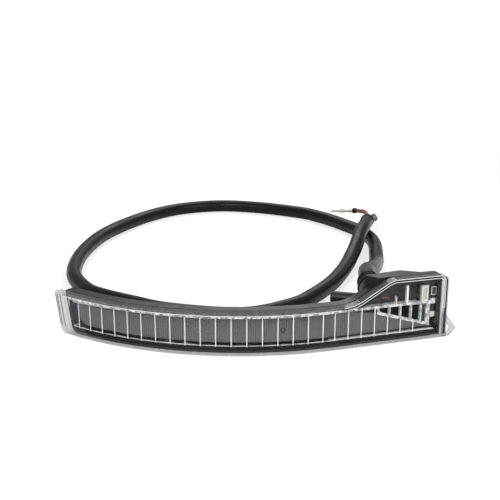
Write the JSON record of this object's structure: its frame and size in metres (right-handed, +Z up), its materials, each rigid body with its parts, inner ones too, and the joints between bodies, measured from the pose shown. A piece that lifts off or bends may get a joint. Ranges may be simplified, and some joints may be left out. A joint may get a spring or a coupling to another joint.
{
  "type": "mirror turn signal lamp",
  "caption": "Slim curved LED turn signal lamp for a door mirror, with a ribbed clear guide, a deeper window at one end and a two-core cable ending in crimped terminals.",
  "frame": {"origin": "centre of the lamp's box without its cable, on the table", "axes": "+X along the lamp, towards the deep end; +Y towards the back of the lamp; +Z up"},
  "size_m": [0.2256, 0.309, 0.034],
  "materials": {
    "housing_black": "satin black moulded plastic",
    "lens_clear": "clear glossy cover",
    "guide_clear": "clear polished light guide",
    "panel_grey": "grey satin panel",
    "diffuser_white": "milky white diffuser",
    "bezel_black": "glossy black frame",
    "board_green": "dark green board lacquer",
    "led_pale": "pale yellow LED package",
    "chip_black": "black component body",
    "solder": "bright solder",
    "wire_brown": "brown core insulation",
    "wire_black": "black core insulation",
    "vent_grey": "pale grey vent membrane",
    "rubber_black": "black moulded rubber",
    "sleeve_black": "black satin cable sleeve",
    "wrap_black": "black shrink sleeve",
    "seal_black": "black ribbed seal",
    "terminal_metal": "tin-plated terminal"
  },
  "bodies": {
    "root": {"rear_housing": "housing_black", "outer_lens": "lens_clear", "lens_seal": "rubber_black", "light_guide": "guide_clear", "reflector_plate": "panel_grey", "diffuser_strip": "diffuser_white", "chamber_bezel": "bezel_black", "circuit_board": "board_green", "led_upper": "led_pale", "led_lower": "led_pale", "protection_diode": "chip_black", "resistor_upper": "chip_black", "resistor_lower": "chip_black", "light_coupler": "diffuser_white", "solder_joints": "solder", "inner_brown_lead": "wire_brown", "inner_black_lead": "wire_black", "vent_membrane": "vent_grey", "cable_grommet": "rubber_black", "cable_sleeve": "sleeve_black", "sleeve_wrap": "wrap_black", "brown_wire": "wire_brown", "black_wire": "wire_black", "brown_seal": "seal_black", "black_seal": "seal_black", "brown_terminal": "terminal_metal", "black_terminal": "terminal_metal"}
  },
  "joints": []
}
